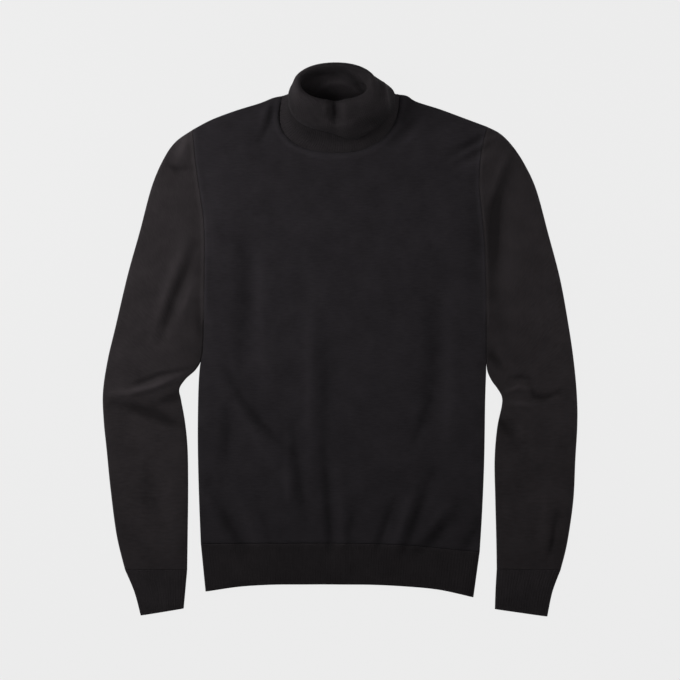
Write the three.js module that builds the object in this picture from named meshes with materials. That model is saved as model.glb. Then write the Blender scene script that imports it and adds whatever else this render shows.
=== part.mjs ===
// A fine-knit turtleneck sweater laid flat, with its rolled collar standing up from the neck seam.
// Millimetres. X runs across towards the wearer's left sleeve, Y from the hem to the collar, and Z
// up from the surface that the back panel lies on. Right and left are the wearer's.

import * as THREE from 'three';

// Layers of knit
const WALL = 2;
const LAYER_GAP = 0.3;
const SEAM_GAP = 0.3;
const ARMHOLE_GAP = 0.5;
const EDGE_TOP = 2 * WALL + LAYER_GAP;
const FULL_TOP = 7.6;
const EDGE_REACH = 26;

// Ribbing
const RIB_PITCH = 3.6;
const RIB_RELIEF = 0.45;
const COLLAR_GIRTH = 440;

// Height on the sides where the armholes end, and share of the sides where the shoulders begin
const UNDERARM_Y = 25;
const YOKE_SHARE = 0.9;

// Steps in which curves are followed
const CURVE_STEPS = 240;
const NECK_STEPS = 120;
const SIDE_STEPS = 30;
const SHOULDER_STEPS = 12;
const SLEEVE_EDGE_STEPS = 60;
const BAND_EDGE_STEPS = 4;
const HALVINGS = 40;

const table = (names, rows) =>
  rows.map((values) => Object.fromEntries(names.map((name, index) => [name, values[index]])));

// Body side and armhole of each side, from the hem seam up to the shoulder tip
const RIGHT_SIDE = table(['x', 'y'], [
  [-194.6, -284.2], [-197.4, -210], [-198.8, -140], [-198.1, -77], [-196, -39],
  [-191.8, -14], [-190.4, 25], [-189.7, 70], [-189, 126], [-190.4, 168],
  [-196, 210], [-201.6, 250], [-205.8, 294],
]);
const LEFT_SIDE = table(['x', 'y'], [
  [195.3, -295.7], [198.8, -238], [201.6, -168], [203, -84], [204.4, -40],
  [204.8, -8], [204.4, 25], [204.2, 75], [202.6, 126], [199, 172],
  [194.6, 215], [197, 260], [205.8, 298],
]);

// Shoulder seams, from the shoulder tip up to the neck
const RIGHT_SHOULDER = table(['x', 'y'], [
  [-205.8, 294], [-179.2, 308], [-145.6, 320.6], [-112, 331], [-93, 338.5],
]);
const LEFT_SHOULDER = table(['x', 'y'], [
  [205.8, 298], [173.6, 310], [140, 322.4], [107, 333], [94, 341],
]);

// Sleeves: each row is one line across the sleeve, from the armhole down to the cuff seam
const SLEEVE_COLUMNS = ['outerX', 'outerY', 'innerX', 'innerY'];
const RIGHT_SLEEVE = table(SLEEVE_COLUMNS, [
  [-229.6, 277.2, -191.6, 11],
  [-246.4, 253.4, -192.4, -1.4],
  [-263.2, 214.2, -193.4, -14],
  [-280, 151.2, -195.8, -29],
  [-296.8, 91, -202, -42],
  [-313.6, 19.6, -216, -55],
  [-324.8, -28, -224.4, -68.6],
  [-331.4, -72.8, -222, -84],
  [-330.4, -112, -216.3, -116],
  [-326.2, -154, -212.8, -154],
  [-320.6, -210, -212.1, -210],
  [-312.2, -273, -212.8, -273],
  [-300.6, -321, -213.5, -321.3],
]);
const LEFT_SLEEVE = table(SLEEVE_COLUMNS, [
  [224, 288.4, 205.6, 10],
  [240.8, 271.6, 206.2, -5],
  [257.6, 246.4, 207, -20],
  [274.4, 210, 206.2, -33],
  [291.2, 148.4, 207, -45],
  [308, 84, 212, -57],
  [320.6, 14, 220, -68],
  [327.6, -36.4, 226, -79],
  [331.4, -81.2, 226, -92],
  [331.8, -119, 219.6, -123],
  [329, -168, 216, -168],
  [326.2, -224, 217, -224],
  [317.8, -282.8, 218.4, -280],
  [308.4, -321.3, 219, -320],
]);

// Cuffs, from the seam down to the open end
const RIGHT_CUFF = table(SLEEVE_COLUMNS, [
  [-300.2, -321.6, -213.5, -321.9],
  [-287.5, -352, -216, -349],
  [-278.6, -385, -218.4, -375.2],
]);
const LEFT_CUFF = table(SLEEVE_COLUMNS, [
  [308, -321.9, 219, -320.6],
  [297, -352, 217.4, -347.5],
  [289.8, -386.4, 216.4, -376],
]);

// Hem rib, in even steps across the body: its seam, and its open lower end
const HEM = table(['seamX', 'seamY', 'endX', 'endY'], [
  [-194.6, -284.5, -188, -351.5],
  [-145.9, -284.3, -141, -344.6],
  [-97.1, -284, -94, -341.8],
  [-48.4, -284, -47, -341.5],
  [0.4, -284, -0.8, -341.5],
  [49.1, -284.8, 46.1, -341.9],
  [97.9, -287, 92.9, -344.4],
  [146.6, -291.5, 139.7, -349],
  [195.3, -296, 186.5, -359.6],
]);

// Collar: one knitted tube, from the neck seam up the stand, over the roll and down the turned flap.
// Each row is a ring, given by its front, its back and how far its sides lie from its centre line.
// Roundness 2 is an ellipse, and lean tips the right side of its front outwards.
const COLLAR = table([
  'name', 'centreX', 'rightHalf', 'leftHalf', 'rightY', 'leftY', 'sideZ',
  'frontY', 'frontZ', 'backY', 'backZ', 'roundness', 'lean',
], [
  ['seam', -2, 78.5, 85.5, 341, 343, 3.2, 261.5, 6.8, 322, 1.5, 2.3, 0.3],
  ['stand', -3, 67, 74, 343, 344, 15, 276.5, 16, 338, 12, 2.3, 0.2],
  ['stand', -4, 59.5, 63, 346, 346, 27, 291, 26, 347, 22, 2.25, 0.1],
  ['ledge', -6, 54, 53, 349, 348, 37, 305, 34.5, 357, 31, 2.2, 0],
  ['nook', -8, 49, 46, 352, 350, 44, 316, 41, 368.5, 36, 2.1, 0],
  ['rim', -6.5, 50, 50, 356, 356, 56, 328, 48.5, 375.5, 54.5, 2, 0],
  ['roll', -7, 51.5, 51.5, 356.5, 356.5, 60, 330.5, 52, 379.6, 59, 2, 0],
  ['roll', -7, 53.5, 54, 355, 355, 58.5, 327.5, 54.2, 381.2, 56, 2.05, 0],
  ['flap', -3, 65, 61, 340, 337, 44, 306, 48, 378, 42, 2.3, 0],
  ['flap', -1, 69.5, 67, 337, 337, 36, 295, 43.5, 373, 29, 2.4, 0],
  ['edge', 4, 75.5, 73, 336, 338, 23, 289, 30, 362, 18, 2.5, 0],
]);
const NECK_CLEAR = 1.2;

// Places where those rings are pushed: a dimple at the centre front, a dip of the edge and a droop
// beside it, and a slouch of the stand behind. Each row gives how far one ring goes.
const PUSHED = table(['name', 'x', 'width', 'isFront'], [
  ['dimple', -5.5, 9.5, true],
  ['dip', 20, 25, true],
  ['droop', 44, 20, true],
  ['slouch', 24, 20, false],
]);
const PUSHES = table([
  'dimpleY', 'dimpleZ', 'dipY', 'dipZ', 'droopY', 'droopZ', 'slouchY', 'slouchZ',
], [
  [0, 0, 0, 0, 0, 0, 0, 0],
  [0, 0, 0, 0, 0, 0, 0, 0],
  [0, 0, 0, 0, 0, 0, 0, 0],
  [-0.5, -0.5, 0, 0, 0, 0, 0, 0],
  [-1, -1.5, 0, 0, 0, 0, -7, 3],
  [-1.6, -3, 0, 0, 0, 0, 0, 0],
  [-1.2, -4, 0, 0, 0, 0, 0, 0],
  [0.5, -5, 0, 0, 0, 0, 0, 0],
  [2, -6.5, 0, 0, 2, -1, 0, 0],
  [1, -3, -2.5, 0, 5, -3.5, 0, 0],
  [0, -0.5, -11, -6, 0, 0, 0, 0],
]);

// The largest folds: soft ridges (rise above 0) and troughs along straight runs of the upper layer
const FOLDS = table(['x1', 'y1', 'x2', 'y2', 'rise', 'width'], [
  [-206, 119, -245, 7, -2.8, 11],
  [-223, 117, -264, 7, 2, 12],
  [-206, 241, -224, 249, -2.4, 8],
  [-315, -73, -226, -54, 2.6, 8],
  [-282, -50, -212, -32, -2, 8],
  [-301, -92, -238, -106, -2.8, 10],
  [-238, -130, -235, -300, 1.2, 15],
  [245, 245, 216, 190, -2.6, 11],
  [216, 190, 207, 70, -2.2, 11],
  [217, -20, 219, -36, -2.2, 9],
  [231, -60, 266, -50, -2.3, 7],
  [258, -84, 301, -76, -2.7, 8],
  [235, -100, 236, -135, -1.8, 14],
  [298, -231, 291, -308, -1.9, 9],
  [-136, 154, -136, -14, -1.4, 14],
  [-151, -63, -91, -126, -2.1, 10],
  [-91, -126, -57, -215, -2.3, 9],
  [-157, -84, -157, -182, -1.3, 12],
  [-39, 70, -39, -161, 1.4, 14],
  [-21, -150, -21, -287, -1.5, 12],
  [-172, -235, -142, -287, -1.5, 10],
  [128, 56, 126, -130, -1.4, 14],
  [122, -210, 91, -287, -2.4, 10],
  [154, -252, 128, -290, -1.7, 9],
  [150, 256, 206, 284, -1.9, 9],
  [-91, 322, -108, 282, -1.6, 8],
  [82, 284, 104, 318, -1.6, 8],
]);

// Plan curves
const pointsOf = (rows) => rows.map((row) => new THREE.Vector2(row.x, row.y));
const smooth = (points) => new THREE.SplineCurve(points).getPoints(CURVE_STEPS);

// A way along a run of points, by length, from 0 at its start to 1 at its end
function pathAlong(points) {
  const lengths = [0];
  for (let index = 1; index < points.length; index += 1) {
    lengths.push(lengths[index - 1] + points[index].distanceTo(points[index - 1]));
  }
  const total = lengths[lengths.length - 1];
  return (share) => {
    const wanted = Math.min(Math.max(share, 0), 1) * total;
    let index = 1;
    while (index < points.length - 1 && lengths[index] < wanted) index += 1;
    const start = lengths[index - 1];
    const step = (wanted - start) / (lengths[index] - start);
    return points[index - 1].clone().lerp(points[index], step);
  };
}

// Points in even steps from one share of a path to another
const evenSteps = (path, from, to, count) =>
  Array.from({ length: count + 1 }, (_, index) => path(from + ((to - from) * index) / count));

// Share of a rising path at which it reaches a height
function shareAtHeight(path, height) {
  let low = 0;
  let high = 1;
  for (let round = 0; round < HALVINGS; round += 1) {
    const middle = (low + high) / 2;
    if (path(middle).y < height) low = middle;
    else high = middle;
  }
  return (low + high) / 2;
}

// One point of a collar ring: angle 0 at the centre front, a quarter turn at the wearer's left
function ringPoint(ring, angle) {
  const power = 2 / ring.roundness;
  const across = Math.sign(Math.sin(angle)) * Math.abs(Math.sin(angle)) ** power;
  const along = Math.abs(Math.cos(angle)) ** power;
  const isFront = Math.cos(angle) > 0;
  const isLeft = across > 0;
  const sideY = isLeft ? ring.leftY : ring.rightY;
  const endY = isFront ? ring.frontY : ring.backY;
  const endZ = isFront ? ring.frontZ : ring.backZ;
  const y = sideY + (endY - sideY) * along;
  const lean = isFront && !isLeft ? ring.lean * (y - sideY) * Math.abs(across) : 0;
  return new THREE.Vector3(
    ring.centreX + (isLeft ? ring.leftHalf : ring.rightHalf) * across + lean,
    y,
    ring.sideZ + (endZ - ring.sideZ) * along,
  );
}

// Necklines of the panels, just outside the collar's seam, from the right shoulder to the left
const PANEL_NECK = {
  ...COLLAR[0],
  rightHalf: COLLAR[0].rightHalf + NECK_CLEAR,
  leftHalf: COLLAR[0].leftHalf + NECK_CLEAR,
  frontY: COLLAR[0].frontY - NECK_CLEAR,
  backY: COLLAR[0].backY - NECK_CLEAR,
};
const arcPoints = (from, to) => Array.from({ length: NECK_STEPS + 1 }, (_, index) => {
  const place = ringPoint(PANEL_NECK, from + ((to - from) * index) / NECK_STEPS);
  return new THREE.Vector2(place.x, place.y);
});
const FRONT_NECK = arcPoints(-Math.PI / 2, Math.PI / 2);
const BACK_NECK = arcPoints(-Math.PI / 2, -1.5 * Math.PI);
const frontNeck = pathAlong(FRONT_NECK);

// Sides and shoulders as paths
const rightSide = pathAlong(smooth(pointsOf(RIGHT_SIDE)));
const leftSide = pathAlong(smooth(pointsOf(LEFT_SIDE)));
const rightShoulder = pathAlong(smooth([...pointsOf(RIGHT_SHOULDER), FRONT_NECK[0]]));
const leftShoulder = pathAlong(smooth([...pointsOf(LEFT_SHOULDER), FRONT_NECK[FRONT_NECK.length - 1]]));

// A flattened tube's plan: across goes from its outer to its inner edge, along from seam to end
function tubePlan(rows) {
  const outer = new THREE.SplineCurve(rows.map((row) => new THREE.Vector2(row.outerX, row.outerY)));
  const inner = new THREE.SplineCurve(rows.map((row) => new THREE.Vector2(row.innerX, row.innerY)));
  return (across, along) => outer.getPoint(along).lerp(inner.getPoint(along), across);
}

// A sleeve's plan starts on the armhole's curve, which fades out over its first rows
const BOWED_ROWS = 6;

function sleevePlan(rows, side, away) {
  const underarm = shareAtHeight(side, UNDERARM_Y);
  const armhole = (across) => {
    const place = side(1 + (underarm - 1) * across);
    return place.setX(place.x + away * ARMHOLE_GAP);
  };
  const tip = armhole(0);
  const pit = armhole(1);
  const first = { outerX: tip.x, outerY: tip.y, innerX: pit.x, innerY: pit.y };
  const ruled = tubePlan([first, ...rows]);
  const fadeLength = BOWED_ROWS / rows.length;
  return (across, along) => {
    const bow = armhole(across).sub(tip.clone().lerp(pit, across));
    const fade = Math.max(0, 1 - along / fadeLength);
    return ruled(across, along).addScaledVector(bow, fade * fade);
  };
}

const PLANS = {
  sleeve_right: sleevePlan(RIGHT_SLEEVE, rightSide, -1),
  sleeve_left: sleevePlan(LEFT_SLEEVE, leftSide, 1),
  cuff_right: tubePlan(RIGHT_CUFF),
  cuff_left: tubePlan(LEFT_CUFF),
};

const hemSeam = new THREE.SplineCurve(HEM.map((row) => new THREE.Vector2(row.seamX, row.seamY)));
const hemEnd = new THREE.SplineCurve(HEM.map((row) => new THREE.Vector2(row.endX, row.endY)));
PLANS.hem_rib = (across, along) => hemSeam.getPoint(across).lerp(hemEnd.getPoint(across), along);

// The panels' lower ends, just above the hem rib
const hemLine = (share) => hemSeam.getPoint(share).add(new THREE.Vector2(0, SEAM_GAP));

// Folded edges of the whole garment, where the upper layer comes down to the lower one
const stepsAlong = (plan, across, count) =>
  Array.from({ length: count + 1 }, (_, index) => plan(across, index / count));
const sideBelow = (side) => {
  const underarm = shareAtHeight(side, UNDERARM_Y);
  return evenSteps(side, underarm, 0, SIDE_STEPS);
};
const sleeveEdge = (sleeveName, cuffName, across) => [
  ...stepsAlong(PLANS[sleeveName], across, SLEEVE_EDGE_STEPS),
  ...stepsAlong(PLANS[cuffName], across, BAND_EDGE_STEPS),
];
const EDGES = [
  [...evenSteps(rightShoulder, 1, 0, SHOULDER_STEPS), ...sleeveEdge('sleeve_right', 'cuff_right', 0)],
  [...evenSteps(leftShoulder, 1, 0, SHOULDER_STEPS), ...sleeveEdge('sleeve_left', 'cuff_left', 0)],
  sleeveEdge('sleeve_right', 'cuff_right', 1),
  sleeveEdge('sleeve_left', 'cuff_left', 1),
  [...sideBelow(rightSide), ...stepsAlong(PLANS.hem_rib, 0, BAND_EDGE_STEPS)],
  [...sideBelow(leftSide), ...stepsAlong(PLANS.hem_rib, 1, BAND_EDGE_STEPS)],
];

function distanceToSegment(x, y, x1, y1, x2, y2) {
  const runX = x2 - x1;
  const runY = y2 - y1;
  const share = ((x - x1) * runX + (y - y1) * runY) / (runX * runX + runY * runY || 1);
  const held = Math.min(Math.max(share, 0), 1);
  return Math.hypot(x - x1 - held * runX, y - y1 - held * runY);
}

function distanceToEdges(x, y) {
  let nearest = Infinity;
  for (const line of EDGES) {
    for (let index = 1; index < line.length; index += 1) {
      const start = line[index - 1];
      const end = line[index];
      nearest = Math.min(nearest, distanceToSegment(x, y, start.x, start.y, end.x, end.y));
    }
  }
  return nearest;
}

// Sum of all folds at a place
function foldRelief(x, y) {
  return FOLDS.reduce((sum, fold) => {
    const distance = distanceToSegment(x, y, fold.x1, fold.y1, fold.x2, fold.y2);
    return sum + fold.rise * Math.exp(-((distance / fold.width) ** 2));
  }, 0);
}

// Height of the upper layer's outside: low along folded edges, full in the middle, with its folds
function topHeight(x, y) {
  const inward = Math.min(1, distanceToEdges(x, y) / EDGE_REACH);
  const climb = Math.sqrt(1 - (1 - inward) ** 2);
  return EDGE_TOP + climb * (FULL_TOP - EDGE_TOP + foldRelief(x, y));
}

// A closed solid from numbered points and triangles, turned so that its faces point out
function solid(name, points, triangles) {
  let volume = 0;
  for (const [a, b, c] of triangles) {
    volume += points[a].dot(points[b].clone().cross(points[c]));
  }
  const faces = volume < 0 ? triangles.map(([a, b, c]) => [a, c, b]) : triangles;
  const geometry = new THREE.BufferGeometry().setFromPoints(points);
  geometry.setIndex(faces.flat());
  geometry.computeVertexNormals();
  return piece(name, geometry);
}

const JERSEY_COLOUR = 0x201d20;
const RIB_COLOUR = 0x1b181a;
const ROUGHNESS = 0.92;
const RIBBED = ['hem_rib', 'cuff_right', 'cuff_left', 'collar'];

function piece(name, geometry) {
  const material = new THREE.MeshStandardMaterial({
    color: RIBBED.includes(name) ? RIB_COLOUR : JERSEY_COLOUR,
    roughness: ROUGHNESS,
    metalness: 0,
  });
  const mesh = new THREE.Mesh(geometry, material);
  mesh.name = name;
  return mesh;
}

// Triangles between two rings of numbered points, which may differ in count; turn runs from 0 to 1
function joinRings(lower, upper) {
  const triangles = [];
  const turnAfter = (ring, index) => (index + 1 < ring.length ? ring[index + 1].turn : 1 + ring[0].turn);
  let low = 0;
  let high = 0;
  while (low < lower.length || high < upper.length) {
    const nextLow = low < lower.length ? turnAfter(lower, low) : Infinity;
    const nextHigh = high < upper.length ? turnAfter(upper, high) : Infinity;
    const lowerId = lower[low % lower.length].id;
    const upperId = upper[high % upper.length].id;
    if (nextLow <= nextHigh) {
      triangles.push([lowerId, lower[(low + 1) % lower.length].id, upperId]);
      low += 1;
    } else {
      triangles.push([lowerId, upper[(high + 1) % upper.length].id, upperId]);
      high += 1;
    }
  }
  return triangles;
}

// A tube's wall: the outer rings from one end to the other, and the inner rings back again
function tubeWall(name, outerRings, innerRings) {
  const points = [];
  const rings = [...outerRings, ...innerRings.toReversed()].map((ring) => ring.map(({ turn, place }) => {
    points.push(place);
    return { turn, id: points.length - 1 };
  }));
  const triangles = rings.flatMap((ring, index) => joinRings(ring, rings[(index + 1) % rings.length]));
  return solid(name, points, triangles);
}

// One ring round a flattened tube: over the top from its outer to its inner edge, and back beneath.
// Edge is how far its plan is drawn in at each side, and drop how far its top lies under the outside.
function flatRing(plan, along, shape) {
  const width = plan(0, along).distanceTo(plan(1, along));
  const drawnIn = shape.edge / width;
  const placeAt = (across) => plan(drawnIn + across * (1 - 2 * drawnIn), along);
  const over = shape.over.map((across, index) => {
    const { x, y } = placeAt(across);
    const isEdge = index === 0 || index === shape.over.length - 1;
    const rib = (shape.relief ?? 0) * (index % 2 === 1 ? 1 : -1);
    const height = isEdge ? shape.edgeHeight : topHeight(x, y) - shape.drop + rib;
    return { turn: across / 2, place: new THREE.Vector3(x, y, height) };
  });
  const beneath = shape.beneath.map((across) => {
    const { x, y } = placeAt(across);
    return { turn: 1 - across / 2, place: new THREE.Vector3(x, y, shape.floor) };
  });
  return [...over, ...beneath];
}

// Shares of the width at which a ring has its points, closer together on the armhole's curve
const NEAR_EDGE = 0.03;
const PLAIN = {
  over: [0, NEAR_EDGE, 0.1, 0.19, 0.29, 0.4, 0.5, 0.6, 0.71, 0.81, 0.9, 1 - NEAR_EDGE, 1],
  beneath: [1 - NEAR_EDGE, 0.66, 0.34, NEAR_EDGE],
};
const CURVED_STEPS = 16;
const CURVED_INNER = evenSteps((share) => share, NEAR_EDGE, 1 - NEAR_EDGE, CURVED_STEPS);
const CURVED = { over: [0, ...CURVED_INNER, 1], beneath: CURVED_INNER.toReversed() };
const EDGE_WALL = 1.1 * WALL;
const HOLLOW_EDGE = WALL + 1;
const OUTSIDE = { edge: 0, drop: 0, edgeHeight: EDGE_TOP / 2, floor: 0 };
const INSIDE = { edge: EDGE_WALL, drop: WALL, edgeHeight: HOLLOW_EDGE, floor: WALL };

// Crests and valleys across a ribbed top, with the folded edges left smooth
function ribbedOver(width) {
  const ribs = Math.round(width / RIB_PITCH);
  return Array.from({ length: 2 * ribs + 1 }, (_, index) => index / (2 * ribs));
}

// A flattened tube through even steps along its plan
const SLEEVE_STEPS = 26;
const HEM_STEPS = 2;
const CUFF_STEPS = 3;

function flatTube(name, steps, outsideOf, insideOf) {
  const alongs = Array.from({ length: steps + 1 }, (_, index) => index / steps);
  return tubeWall(
    name,
    alongs.map((along) => flatRing(PLANS[name], along, outsideOf(along))),
    alongs.map((along) => flatRing(PLANS[name], along, insideOf(along))),
  );
}

function sleeve(name) {
  const spread = (along) => (along === 0 ? CURVED : PLAIN);
  return flatTube(
    name,
    SLEEVE_STEPS,
    (along) => ({ ...OUTSIDE, ...spread(along) }),
    (along) => ({ ...INSIDE, ...spread(along) }),
  );
}

function ribbedBand(name, steps) {
  const width = PLANS[name](0, 0.5).distanceTo(PLANS[name](1, 0.5));
  const outside = { ...OUTSIDE, ...CURVED, over: ribbedOver(width), relief: RIB_RELIEF / 2 };
  return flatTube(name, steps, () => outside, () => ({ ...INSIDE, ...CURVED }));
}

// A grid over a four-sided patch of the plan; left and right run upwards, bottom and top to the right
function patchGrid(sides, columns, rows) {
  const corner = { a: sides.bottom(0), b: sides.bottom(1), c: sides.top(0), d: sides.top(1) };
  const blend = (u, v, axis) => (1 - v) * sides.bottom(u)[axis] + v * sides.top(u)[axis]
    + (1 - u) * sides.left(v)[axis] + u * sides.right(v)[axis]
    - (1 - u) * (1 - v) * corner.a[axis] - u * (1 - v) * corner.b[axis]
    - (1 - u) * v * corner.c[axis] - u * v * corner.d[axis];
  return Array.from({ length: rows + 1 }, (_, row) => Array.from({ length: columns + 1 }, (__, column) => {
    const u = column / columns;
    const v = row / rows;
    return new THREE.Vector2(blend(u, v, 'x'), blend(u, v, 'y'));
  }));
}

// The front panel's three patches: the body up to the neckline's lowest part, and a shoulder each side
const BODY_COLUMNS = 32;
const BODY_ROWS = 18;
const YOKE_COLUMNS = 10;
const YOKE_ROWS = 5;
const NECK_SPLIT = 0.24;

function frontPatches() {
  const between = (start, end) => (share) => start.clone().lerp(end, share);
  const part = (path, from, to) => (share) => path(from + (to - from) * share);
  const rightYoke = between(rightSide(YOKE_SHARE), frontNeck(NECK_SPLIT));
  const leftYoke = between(frontNeck(1 - NECK_SPLIT), leftSide(YOKE_SHARE));
  const split = YOKE_COLUMNS / BODY_COLUMNS;
  const bodyTop = (share) => {
    if (share <= split) return rightYoke(share / split);
    if (share >= 1 - split) return leftYoke((share - 1 + split) / split);
    return part(frontNeck, NECK_SPLIT, 1 - NECK_SPLIT)((share - split) / (1 - 2 * split));
  };
  const body = {
    bottom: hemLine,
    top: bodyTop,
    left: part(rightSide, 0, YOKE_SHARE),
    right: part(leftSide, 0, YOKE_SHARE),
  };
  const rightPart = {
    bottom: rightYoke,
    top: rightShoulder,
    left: part(rightSide, YOKE_SHARE, 1),
    right: part(frontNeck, NECK_SPLIT, 0),
  };
  const leftPart = {
    bottom: leftYoke,
    top: part(leftShoulder, 1, 0),
    left: part(frontNeck, 1 - NECK_SPLIT, 1),
    right: part(leftSide, YOKE_SHARE, 1),
  };
  return [
    patchGrid(body, BODY_COLUMNS, BODY_ROWS),
    patchGrid(rightPart, YOKE_COLUMNS, YOKE_ROWS),
    patchGrid(leftPart, YOKE_COLUMNS, YOKE_ROWS),
  ];
}

// A wall over plan grids: a top skin, the same skin a wall's thickness lower, and a rim between them
function panelWall(name, grids) {
  const places = [];
  const known = new Map();
  const numberOf = ({ x, y }) => {
    const key = `${x.toFixed(3)} ${y.toFixed(3)}`;
    if (!known.has(key)) {
      known.set(key, places.length);
      places.push({ x, y });
    }
    return known.get(key);
  };
  const skin = [];
  for (const grid of grids) {
    const ids = grid.map((line) => line.map(numberOf));
    for (let row = 1; row < ids.length; row += 1) {
      for (let column = 1; column < ids[row].length; column += 1) {
        const [a, b] = [ids[row - 1][column - 1], ids[row - 1][column]];
        const [c, d] = [ids[row][column - 1], ids[row][column]];
        skin.push([a, b, d], [a, d, c]);
      }
    }
  }
  const heights = places.map(({ x, y }) => topHeight(x, y));
  const upper = places.map(({ x, y }, index) => new THREE.Vector3(x, y, heights[index]));
  const lower = places.map(({ x, y }, index) => new THREE.Vector3(x, y, heights[index] - WALL));
  const shift = places.length;
  const paired = new Set(skin.flatMap(([a, b, c]) => [`${a} ${b}`, `${b} ${c}`, `${c} ${a}`]));
  const rim = [...paired].map((pair) => pair.split(' ').map(Number))
    .filter(([a, b]) => !paired.has(`${b} ${a}`))
    .flatMap(([a, b]) => [[b, a, a + shift], [b, a + shift, b + shift]]);
  const underside = skin.map(([a, b, c]) => [a + shift, c + shift, b + shift]);
  return solid(name, [...upper, ...lower], [...skin, ...rim, ...underside]);
}

// The back panel lies flat on the surface, under everything else
const BACK_SIDE_STEPS = 34;
const BACK_SHOULDER_STEPS = 8;
const BACK_END_STEPS = 16;

function backPanel() {
  const outline = [
    ...evenSteps(rightSide, 0, 1, BACK_SIDE_STEPS),
    ...evenSteps(rightShoulder, 0, 1, BACK_SHOULDER_STEPS).slice(1),
    ...evenSteps(pathAlong(BACK_NECK), 0, 1, BACK_END_STEPS).slice(1),
    ...evenSteps(leftShoulder, 1, 0, BACK_SHOULDER_STEPS).slice(1),
    ...evenSteps(leftSide, 1, 0, BACK_SIDE_STEPS).slice(1),
    ...evenSteps(hemLine, 1, 0, BACK_END_STEPS).slice(1, -1),
  ];
  const geometry = new THREE.ExtrudeGeometry(new THREE.Shape(outline), { depth: WALL, bevelEnabled: false });
  return piece('back_panel', geometry);
}

// The collar's middle surface: even points round each ring, from the centre back and all the way round
const COLLAR_RIBS = Math.round(COLLAR_GIRTH / RIB_PITCH);
const COLLAR_POINTS = 2 * COLLAR_RIBS;
const RING_STEPS = 720;

// The foot of the stand is ribbed inside as well, and the rest of the hidden face is plain
const FOOT_RINGS = 2;
const PLAIN_STRIDE = 4;

function collarRing(ring) {
  const dense = Array.from({ length: RING_STEPS + 1 }, (_, step) =>
    ringPoint(ring, Math.PI * ((2 * step) / RING_STEPS - 1)));
  const path = pathAlong(dense);
  return Array.from({ length: COLLAR_POINTS }, (_, step) => {
    const place = path(step / COLLAR_POINTS);
    const towardFront = -Math.cos((2 * Math.PI * step) / COLLAR_POINTS);
    const startX = place.x;
    for (const push of PUSHED) {
      const facing = Math.max(0, push.isFront ? towardFront : -towardFront);
      const amount = facing * Math.exp(-(((startX - push.x) / push.width) ** 2));
      place.y += amount * ring[`${push.name}Y`];
      place.z += amount * ring[`${push.name}Z`];
    }
    return place;
  });
}

function collarNormals(rings) {
  const last = rings.length - 1;
  return rings.map((ring, row) => ring.map((_, step) => {
    const around = ring[(step + 1) % COLLAR_POINTS].clone()
      .sub(ring[(step + COLLAR_POINTS - 1) % COLLAR_POINTS]);
    const along = rings[Math.min(row + 1, last)][step].clone().sub(rings[Math.max(row - 1, 0)][step]);
    return around.cross(along).normalize();
  }));
}

// The collar's wall: ribs on the face that shows, and on the foot of the stand, which shows under the flap
function collar() {
  const middle = COLLAR.map((ring, index) => collarRing({ ...ring, ...PUSHES[index] }));
  const normals = collarNormals(middle);
  const side = (row, distance, stride, relief) => middle[row]
    .map((place, step) => {
      const rib = relief * (step % 2 === 1 ? 0.5 : -0.5);
      const out = distance + Math.sign(distance) * rib;
      return { turn: step / COLLAR_POINTS, place: place.clone().addScaledVector(normals[row][step], out) };
    })
    .filter((_, step) => step % stride === 0);
  const shown = middle.map((_, row) => side(row, -WALL / 2, 1, RIB_RELIEF));
  const hidden = middle.map((_, row) => {
    const isFoot = row < FOOT_RINGS;
    return side(row, WALL / 2, isFoot ? 1 : PLAIN_STRIDE, isFoot ? RIB_RELIEF : 0);
  });
  return tubeWall('collar', shown, hidden);
}

// The whole garment, moved so that its box stands centred over the origin
const sweater = new THREE.Group();
sweater.add(
  backPanel(),
  panelWall('front_panel', frontPatches()),
  ribbedBand('hem_rib', HEM_STEPS),
  sleeve('sleeve_right'),
  sleeve('sleeve_left'),
  ribbedBand('cuff_right', CUFF_STEPS),
  ribbedBand('cuff_left', CUFF_STEPS),
  collar(),
);
const centre = new THREE.Box3().setFromObject(sweater).getCenter(new THREE.Vector3());
sweater.position.set(-centre.x, -centre.y, 0);

export default sweater;
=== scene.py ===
"""A near-black fine-knit turtleneck sweater laid flat, with its rolled collar standing up."""

import math

import bpy
import numpy as np
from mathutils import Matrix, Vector


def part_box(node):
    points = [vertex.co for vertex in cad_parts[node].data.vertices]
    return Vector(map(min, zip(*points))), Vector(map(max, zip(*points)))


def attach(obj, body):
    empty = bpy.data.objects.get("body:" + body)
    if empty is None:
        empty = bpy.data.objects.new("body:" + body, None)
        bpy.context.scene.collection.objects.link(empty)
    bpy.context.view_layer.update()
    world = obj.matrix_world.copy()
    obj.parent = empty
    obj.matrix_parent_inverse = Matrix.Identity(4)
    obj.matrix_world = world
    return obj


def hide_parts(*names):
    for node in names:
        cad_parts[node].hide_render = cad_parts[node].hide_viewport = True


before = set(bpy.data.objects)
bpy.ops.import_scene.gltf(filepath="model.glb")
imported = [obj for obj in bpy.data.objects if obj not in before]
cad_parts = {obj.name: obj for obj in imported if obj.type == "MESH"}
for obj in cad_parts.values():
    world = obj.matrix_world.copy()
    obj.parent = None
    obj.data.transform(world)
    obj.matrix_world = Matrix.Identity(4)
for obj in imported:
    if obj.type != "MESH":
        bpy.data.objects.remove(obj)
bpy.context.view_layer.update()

# All tables below are in millimetres, in the garment's own plan: X towards the wearer's left
# sleeve, Y from hem to collar, Z up. The frame's box of the back panel places that plan.
MM = 0.001

# Layers of knit: a wall's thickness, the upper layer's top at its edges and in full, and how far
# in from the edges it rises
WALL = 2.0
EDGE_TOP = 4.3
FULL_TOP = 7.6
EDGE_REACH = 26.0

# Height on the sides where the armholes end, and share of the sides where the shoulder patches begin
UNDERARM_Y = 25.0
YOKE_SHARE = 0.9

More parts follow.
